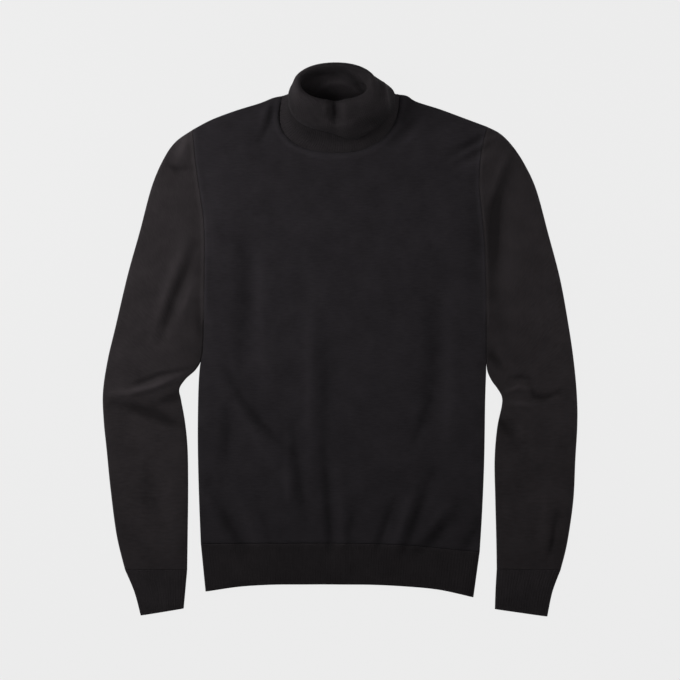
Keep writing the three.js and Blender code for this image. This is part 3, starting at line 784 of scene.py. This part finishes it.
def tube_skin(plan, across, is_over, along, widths, lip, rib_wave, is_inner):
    """Points of a tube's outer or inner skin, and their shares of the way across."""
    inset = INNER_INSET if is_inner else 0.0
    drawn = inset / widths[:, None]
    share = drawn + across[None, :] * (1 - 2 * drawn)
    places = plan(share, np.broadcast_to(along[:, None], share.shape))
    edges = [steps_along(plan, side, TUBE_EDGE_STEPS) for side in (0, 1)]
    flatness = quarter_round(distance_to_lines(places, edges) - inset * INSET_KEPT, EDGE_TOP / 2)
    offset = WALL / 2 * lip * (-1 if is_inner else 1)
    drop = (1 - flatness) * (EDGE_TOP / 2 - (WALL if is_inner else 0))
    upper = top_height(places) - WALL / 2 + offset - drop + rib_wave * flatness
    under = WALL / 2 - offset + drop
    heights = np.where(is_over, upper, np.minimum(under, upper))
    return np.concatenate([places, heights[..., None]], -1), share


def tube_object(name, rows, over, under_count, ribs=0):
    """A flattened tube's wall: rounded folded edges, a domed top with its ribs, and a flat underside."""
    plan = PLANS[name]
    length = lengths_along(steps_along(plan, 0.5, TUBE_LENGTH_STEPS))[-1]
    along = rimmed_steps(rows, length)
    widths = np.linalg.norm(plan(np.zeros(len(along)), along) - plan(np.ones(len(along)), along), axis=1)
    lip = quarter_round(np.minimum(along, 1 - along) * length, RIM_ROUND)[:, None]
    across = np.concatenate([over, round_steps(under_count)[-2:0:-1]])
    is_over = np.arange(len(across)) < len(over)
    relief = RIB_RELIEF / 2 if ribs else 0
    rib_wave = relief * np.cos(2 * math.pi * ribs * across)
    shape = (plan, across, is_over, along, widths, lip, rib_wave)
    outer, share = tube_skin(*shape, is_inner=False)
    inner, _ = tube_skin(*shape, is_inner=True)
    knit = np.stack(np.broadcast_arrays((share - 0.5) * widths[:, None], (along * length)[:, None]), -1)
    painted_shades = painted_shade_of(outer[..., :2])
    return torus_object(name + "_shell", outer, inner, knit, painted_shades, painted_shades)


def sleeve_object(name):
    return tube_object(name, SLEEVE_ROWS, round_steps(SLEEVE_OVER), SLEEVE_UNDER)


def band_object(name):
    width, rows = BANDS[name]
    ribs = round(width / RIB_PITCH)
    over = np.linspace(0, 1, ribs * POINTS_PER_RIB + 1)
    return tube_object(name, rows, over, BAND_UNDER, ribs)


# Collar

# Length up the collar at which the flap begins, and over which its creases fade in
FLAP_START = 66.0
FLAP_FADE = 12.0
FLAP_ROUND = 5.0

# Creases are full where the surface faces up by at least one over this
FACING_GAIN = 2

# Painted light on the sides of the roll: strength, length up the collar and reach there, centre and half
# width across, and the share of that half width where it starts
PAINTED_ROLL_LIGHT = 2.2
ROLL_HEIGHT = 80.0
ROLL_REACH = 18.0
ROLL_CENTRE = -4.0
ROLL_HALF = 60.0
ROLL_START = 0.45

# Painted shade along the flap's edge, and painted shadow on the stand under the flap: strength, reach and
# length up the collar
EDGE_SHADE = 0.9
EDGE_SHADE_REACH = 2.5
STAND_SHADE = 0.8
STAND_SHADE_REACH = 10.0
STAND_SHADE_HEIGHT = 26.0

# Ring values that the collar's length is measured by: along each side, the front and the back
TRACKS = (
    ("left_half", "left_y", "side_z"), ("right_half", "right_y", "side_z"),
    ("centre", "front_y", "front_z"), ("centre", "back_y", "back_z"),
)


def collar_rows(count):
    """Ring values at even steps of length up the stand, over the roll and down the flap."""
    table = np.array([(*ring, *pushes) for ring, pushes in zip(COLLAR, RING_PUSHES)], float)
    tracks = np.stack([table[:, [RING_COLUMNS.index(name) for name in names]] for names in TRACKS])
    steps = np.linalg.norm(np.diff(tracks, axis=1), axis=2).mean(axis=0)
    lengths = np.concatenate([[0], np.cumsum(steps)])
    slopes = np.diff(table, axis=0) / steps[:, None]
    weights = (steps / (np.roll(steps, -1) + steps))[:-1, None]
    inner = slopes[:-1] * (1 - weights) + slopes[1:] * weights
    tangents = np.concatenate([slopes[:1], inner, slopes[-1:]])
    wanted = rimmed_steps(count, lengths[-1]) * lengths[-1]
    index = np.clip(np.searchsorted(lengths, wanted, side="right") - 1, 0, len(steps) - 1)
    step = steps[index][:, None]
    share = (wanted - lengths[index])[:, None] / step
    values = (
        (2 * share**3 - 3 * share**2 + 1) * table[index]
        + (share**3 - 2 * share**2 + share) * step * tangents[index]
        + (3 * share**2 - 2 * share**3) * table[index + 1]
        + (share**3 - share**2) * step * tangents[index + 1]
    )
    return [dict(zip(RING_COLUMNS + PUSH_COLUMNS, row)) for row in values], wanted


def collar_ring(ring, count):
    """Even points round one ring from the centre back, pushed by the dimple, dip, droop and slouch."""
    dense = ring_points(ring, np.linspace(-math.pi, math.pi, RING_STEPS + 1))
    turns = np.arange(count) / count
    places = path_along(dense)(turns)
    facing = -np.cos(2 * math.pi * turns)
    amounts = {
        name: bump_at(places[:, 0] - x, width) * np.maximum(0, facing if is_front else -facing)
        for name, (x, width, is_front) in PUSHES.items()
    }
    for name, amount in amounts.items():
        places[:, 1] += ring[name + "_y"] * amount
        places[:, 2] += ring[name + "_z"] * amount
    return places


def collar_normals(middle):
    """Directions from the shown side of the collar's wall to its hidden side."""
    around = np.roll(middle, -1, axis=1) - np.roll(middle, 1, axis=1)
    normals = np.cross(around, np.gradient(middle, axis=0))
    return normals / np.linalg.norm(normals, axis=-1, keepdims=True)


def collar_painted_shades(middle, heights, flap, inside):
    """Painted shade on the collar's shown side, with painted light on the roll's sides and ridges, and
    painted shadow on its hidden side under the flap.
    """
    sides = np.clip(np.abs(middle[..., 0] - ROLL_CENTRE) / ROLL_HALF - ROLL_START, 0, 1)
    roll_painted_light = PAINTED_ROLL_LIGHT * bump_at(heights - ROLL_HEIGHT, ROLL_REACH)[:, None] * sides
    painted_edge_shade = EDGE_SHADE * bump_at(heights[-1] - heights, EDGE_SHADE_REACH)[:, None]
    painted_stand_shadow = STAND_SHADE * bump_at(heights - STAND_SHADE_HEIGHT, STAND_SHADE_REACH)[:, None]
    # Painted shade along the flap's edge and in creases, painted light on the roll's sides and on ridges
    shown = np.clip(painted_edge_shade - roll_painted_light - flap / PAINTED_SHADE_DEPTH - inside, *PAINTED_SHADE_LIMITS)
    return shown, np.broadcast_to(painted_stand_shadow, shown.shape)


def collar_object():
    rows, heights = collar_rows(COLLAR_ROWS)
    count = COLLAR_RIBS * POINTS_PER_RIB
    middle = np.stack([collar_ring(row, count) for row in rows])
    normals = collar_normals(middle)
    wave = RIB_RELIEF / 2 * np.cos(2 * math.pi * np.arange(count) / POINTS_PER_RIB)[None, :]
    foot_lip = quarter_round(heights, RIM_ROUND)
    edge_lip = quarter_round(heights[-1] - heights, FLAP_ROUND)
    lip = np.minimum(foot_lip, edge_lip)[:, None]
    on_flap = np.clip((heights - FLAP_START) / FLAP_FADE, 0, 1)[:, None]
    faces_up = np.clip(-normals[..., 2] * FACING_GAIN, 0, 1)
    flap = crease_relief(middle[..., :2], FLAP_CREASES) * on_flap * faces_up
    inside = crease_relief(middle[..., :2], INSIDE_CREASES) * (1 - on_flap) * faces_up
    shown = middle - normals * ((WALL / 2 + wave) * lip + (flap + inside))[..., None]
    hidden = middle + normals * ((WALL / 2 - wave) * lip - flap)[..., None]
    round_place = np.arange(count)[None, :] * RIB_PITCH / POINTS_PER_RIB
    knit = np.stack(np.broadcast_arrays(round_place, heights[:, None]), -1)
    return torus_object("collar_shell", shown, hidden, knit, *collar_painted_shades(middle, heights, flap, inside))


# Materials

# Knitted cloths: colour on top and deep in the stitches, where the deep colour serves as painted shade and
# as the dark end of random tone, fuzz, and a stitch's width, height and depth
KNIT_COLUMNS = ("base", "deep", "fuzz", "wale", "course", "stitch_depth")
KNITS = {
    "black_jersey": ((0.0275, 0.0243, 0.028), (0.006, 0.0052, 0.0062), 0.12, 1.6, 1.15, 0.25),
    # A lighter copy of the jersey for the sleeves, as painted light
    "black_jersey_painted_light": ((0.0335, 0.0285, 0.0305), (0.0075, 0.0062, 0.0066), 0.14, 1.6, 1.15, 0.25),
    "black_rib": ((0.031, 0.0267, 0.029), (0.008, 0.007, 0.0076), 0.04, 1.8, 1.15, 0.22),
    # A darker copy of the rib for the hem, as painted shade
    "black_rib_painted_shade": ((0.024, 0.0206, 0.0222), (0.007, 0.006, 0.0066), 0.03, 1.8, 1.15, 0.22),
}
KNIT_ROUGHNESS = 0.9
KNIT_SPECULAR = 0.1
FUZZ_ROUGHNESS = 0.5
FUZZ_TINT = (0.75, 0.7, 0.74, 1)

# Unevenness of the cloth: clouds to a metre, streaks to a metre along and across the stitches' rows
CLOUD_SCALE = 38
CLOUD_DETAIL = 5
STREAK_SCALE = (90, 480, 1)
STREAK_DETAIL = 3

# Start of the mix from deep to base colour, and the share that each thing adds to it: the stitches' height
# and the folds and seams add painted shade
MIX_START = -0.2
CLOUD_SHARE = 0.5
STREAK_SHARE = 0.5
STITCH_SHADE_SHARE = 0.3
PAINTED_SHADE_SHARE = -0.3

# Evenness of a stitch's leg along its row, and the strength of the stitches' relief
LEG_SWING = 0.35
STITCH_STRENGTH = 0.55


def node(tree, kind, inputs=None, **values):
    made = tree.nodes.new(kind)
    for name, value in values.items():
        setattr(made, name, value)
    for name, value in (inputs or {}).items():
        made.inputs[name].default_value = value
    return made


def math_node(tree, operation, *values):
    made = node(tree, "ShaderNodeMath", operation=operation)
    for index, value in enumerate(values):
        if isinstance(value, (int, float)):
            made.inputs[index].default_value = value
        else:
            tree.links.new(value, made.inputs[index])
    return made.outputs[0]


def stitch_height(tree, knit_place, wale, course):
    """Height of a field of knit stitches, 0 to 1: slanted legs each side of every column's centre."""
    split = node(tree, "ShaderNodeSeparateXYZ")
    tree.links.new(knit_place, split.inputs[0])
    column = math_node(tree, "MULTIPLY", split.outputs[0], 1 / (wale * MM))
    leg = math_node(tree, "PINGPONG", column, 0.5)
    leg_share = math_node(tree, "MULTIPLY", leg, 2.0)
    across = math_node(tree, "SINE", math_node(tree, "MULTIPLY", leg_share, math.pi))
    row = math_node(tree, "MULTIPLY", split.outputs[1], 1 / (course * MM))
    slanted = math_node(tree, "ADD", row, leg_share)
    along = math_node(tree, "SINE", math_node(tree, "MULTIPLY", slanted, 2 * math.pi))
    lifted = math_node(tree, "MULTIPLY_ADD", along, LEG_SWING, 1 - LEG_SWING)
    return math_node(tree, "MULTIPLY", across, lifted)


def clouds(tree):
    """Soft uneven patches over the whole cloth."""
    noise = node(tree, "ShaderNodeTexNoise", {"Scale": CLOUD_SCALE, "Detail": CLOUD_DETAIL})
    tree.links.new(node(tree, "ShaderNodeTexCoord").outputs["Object"], noise.inputs["Vector"])
    return noise.outputs[0]


def streaks(tree, knit_place):
    """Fine uneven streaks along the rows of stitches."""
    stretch = node(tree, "ShaderNodeVectorMath", operation="MULTIPLY")
    stretch.inputs[1].default_value = STREAK_SCALE
    tree.links.new(knit_place, stretch.inputs[0])
    noise = node(tree, "ShaderNodeTexNoise", {"Scale": 1, "Detail": STREAK_DETAIL})
    tree.links.new(stretch.outputs[0], noise.inputs["Vector"])
    return noise.outputs[0]


def knit_colour(tree, knit_place, height, base, deep):
    """Colour from deep to base, by the cloth's random unevenness, by painted shade between the stitches,
    and by painted shade in folds and at seams with painted light on ridges.
    """
    # Painted shade and painted light from folds, seams and the collar's creases
    painted_crease_shade = node(tree, "ShaderNodeAttribute", attribute_name="painted_crease_shade")
    shade = MIX_START
    for share, value in (
        (CLOUD_SHARE, clouds(tree)),
        (STREAK_SHARE, streaks(tree, knit_place)),
        (STITCH_SHADE_SHARE, height),
        (PAINTED_SHADE_SHARE, painted_crease_shade.outputs["Fac"]),
    ):
        shade = math_node(tree, "MULTIPLY_ADD", value, share, shade)
    ramp = node(tree, "ShaderNodeMix", data_type="RGBA")
    ramp.inputs["A"].default_value = (*deep, 1)
    ramp.inputs["B"].default_value = (*base, 1)
    tree.links.new(shade, ramp.inputs["Factor"])
    return ramp.outputs["Result"]


def knit_material(name):
    knit = dict(zip(KNIT_COLUMNS, KNITS[name]))
    material = bpy.data.materials.new(name)
    material.use_nodes = True
    tree = material.node_tree
    shader = tree.nodes["Principled BSDF"]
    shader.inputs["Roughness"].default_value = KNIT_ROUGHNESS
    shader.inputs["Specular IOR Level"].default_value = KNIT_SPECULAR
    shader.inputs["Sheen Weight"].default_value = knit["fuzz"]
    shader.inputs["Sheen Roughness"].default_value = FUZZ_ROUGHNESS
    shader.inputs["Sheen Tint"].default_value = FUZZ_TINT
    knit_place = node(tree, "ShaderNodeUVMap", uv_map="knit").outputs[0]
    height = stitch_height(tree, knit_place, knit["wale"], knit["course"])
    colour = knit_colour(tree, knit_place, height, knit["base"], knit["deep"])
    tree.links.new(colour, shader.inputs["Base Color"])
    relief = {"Strength": STITCH_STRENGTH, "Distance": knit["stitch_depth"] * MM}
    bump = node(tree, "ShaderNodeBump", relief)
    tree.links.new(height, bump.inputs["Height"])
    tree.links.new(bump.outputs[0], shader.inputs["Normal"])
    return material


def dress(piece, material, cad_node):
    piece.data.materials.append(material)
    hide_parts(cad_node)
    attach(piece, "root")


# Stage, in metres

FLOOR_HALF = 4
FLOOR_COLOUR = (0.015, 0.015, 0.015, 1)
FLOOR_ROUGHNESS = 0.95
FLOOR_GLOW = 0.83
WHITE = (1, 1, 1, 1)
WORLD_STRENGTH = 0.1

# Soft lights that point at the garment's middle: place, diameter and power
SOFTBOXES = {
    "key": ((-0.72, 0.32, 0.52), 0.5, 7),
    "fill": ((0.75, 0.2, 0.5), 0.5, 2.7),
    "top": ((-0.2, 0.5, 2.2), 0.8, 5),
}

# Lens and sensor of the camera in millimetres, the width of the square that it shows on the floor,
# and how far it sees
LENS = 150
SENSOR = 36
VIEW_WIDTH = 0.951
FARTHEST = 50


def floor_object():
    corners = [(x * FLOOR_HALF, y * FLOOR_HALF, 0.0) for x, y in ((-1, -1), (1, -1), (1, 1), (-1, 1))]
    mesh = bpy.data.meshes.new("floor")
    mesh.from_pydata(corners, [], [(0, 1, 2, 3)])
    material = bpy.data.materials.new("pale_floor")
    material.use_nodes = True
    shader = material.node_tree.nodes["Principled BSDF"]
    shader.inputs["Base Color"].default_value = FLOOR_COLOUR
    shader.inputs["Roughness"].default_value = FLOOR_ROUGHNESS
    shader.inputs["Specular IOR Level"].default_value = 0
    shader.inputs["Emission Color"].default_value = WHITE
    shader.inputs["Emission Strength"].default_value = FLOOR_GLOW
    mesh.materials.append(material)
    add_object("floor", mesh)


def softbox(name, place, size, power):
    data = bpy.data.lights.new(name, "AREA")
    data.shape = "DISK"
    data.size = size
    data.energy = power
    lamp = add_object(name, data)
    lamp.location = place
    lamp.rotation_euler = (-Vector(place)).to_track_quat("-Z", "Y").to_euler()


def studio_light():
    world = bpy.data.worlds.new("studio")
    world.use_nodes = True
    backdrop = world.node_tree.nodes["Background"]
    backdrop.inputs["Color"].default_value = WHITE
    backdrop.inputs["Strength"].default_value = WORLD_STRENGTH
    bpy.context.scene.world = world
    for name, (place, size, power) in SOFTBOXES.items():
        softbox(name, place, size, power)


def camera():
    """Straight above, with a long lens."""
    data = bpy.data.cameras.new("camera")
    data.lens = LENS
    data.sensor_width = SENSOR
    data.clip_end = FARTHEST
    eye = add_object("camera", data)
    eye.location = (SHIFT[0] * MM, SHIFT[1] * MM, VIEW_WIDTH * LENS / SENSOR)
    bpy.context.scene.camera = eye


def garment():
    """Makes the eight pieces, each with its material, hides the solid that each one replaces and hangs it
    on the root body.
    """
    # The sleeves' jersey is a lighter copy with painted light, and the hem's rib a darker copy with painted
    # shade
    jersey, painted_light_jersey, rib, hem_rib = (knit_material(name) for name in KNITS)
    front = panel_object("front_shell", path_along(front_neck_points), front_middle)
    back = panel_object("back_shell", path_along(back_neck_points), back_middle)
    dress(front, jersey, "front_panel")
    dress(back, jersey, "back_panel")
    for name in ("sleeve_right", "sleeve_left"):
        dress(sleeve_object(name), painted_light_jersey, name)
    dress(band_object("hem_rib"), hem_rib, "hem_rib")
    for name in ("cuff_right", "cuff_left"):
        dress(band_object(name), rib, name)
    dress(collar_object(), rib, "collar")


camera()
bpy.context.scene.view_settings.view_transform = "Standard"
floor_object()
studio_light()
garment()
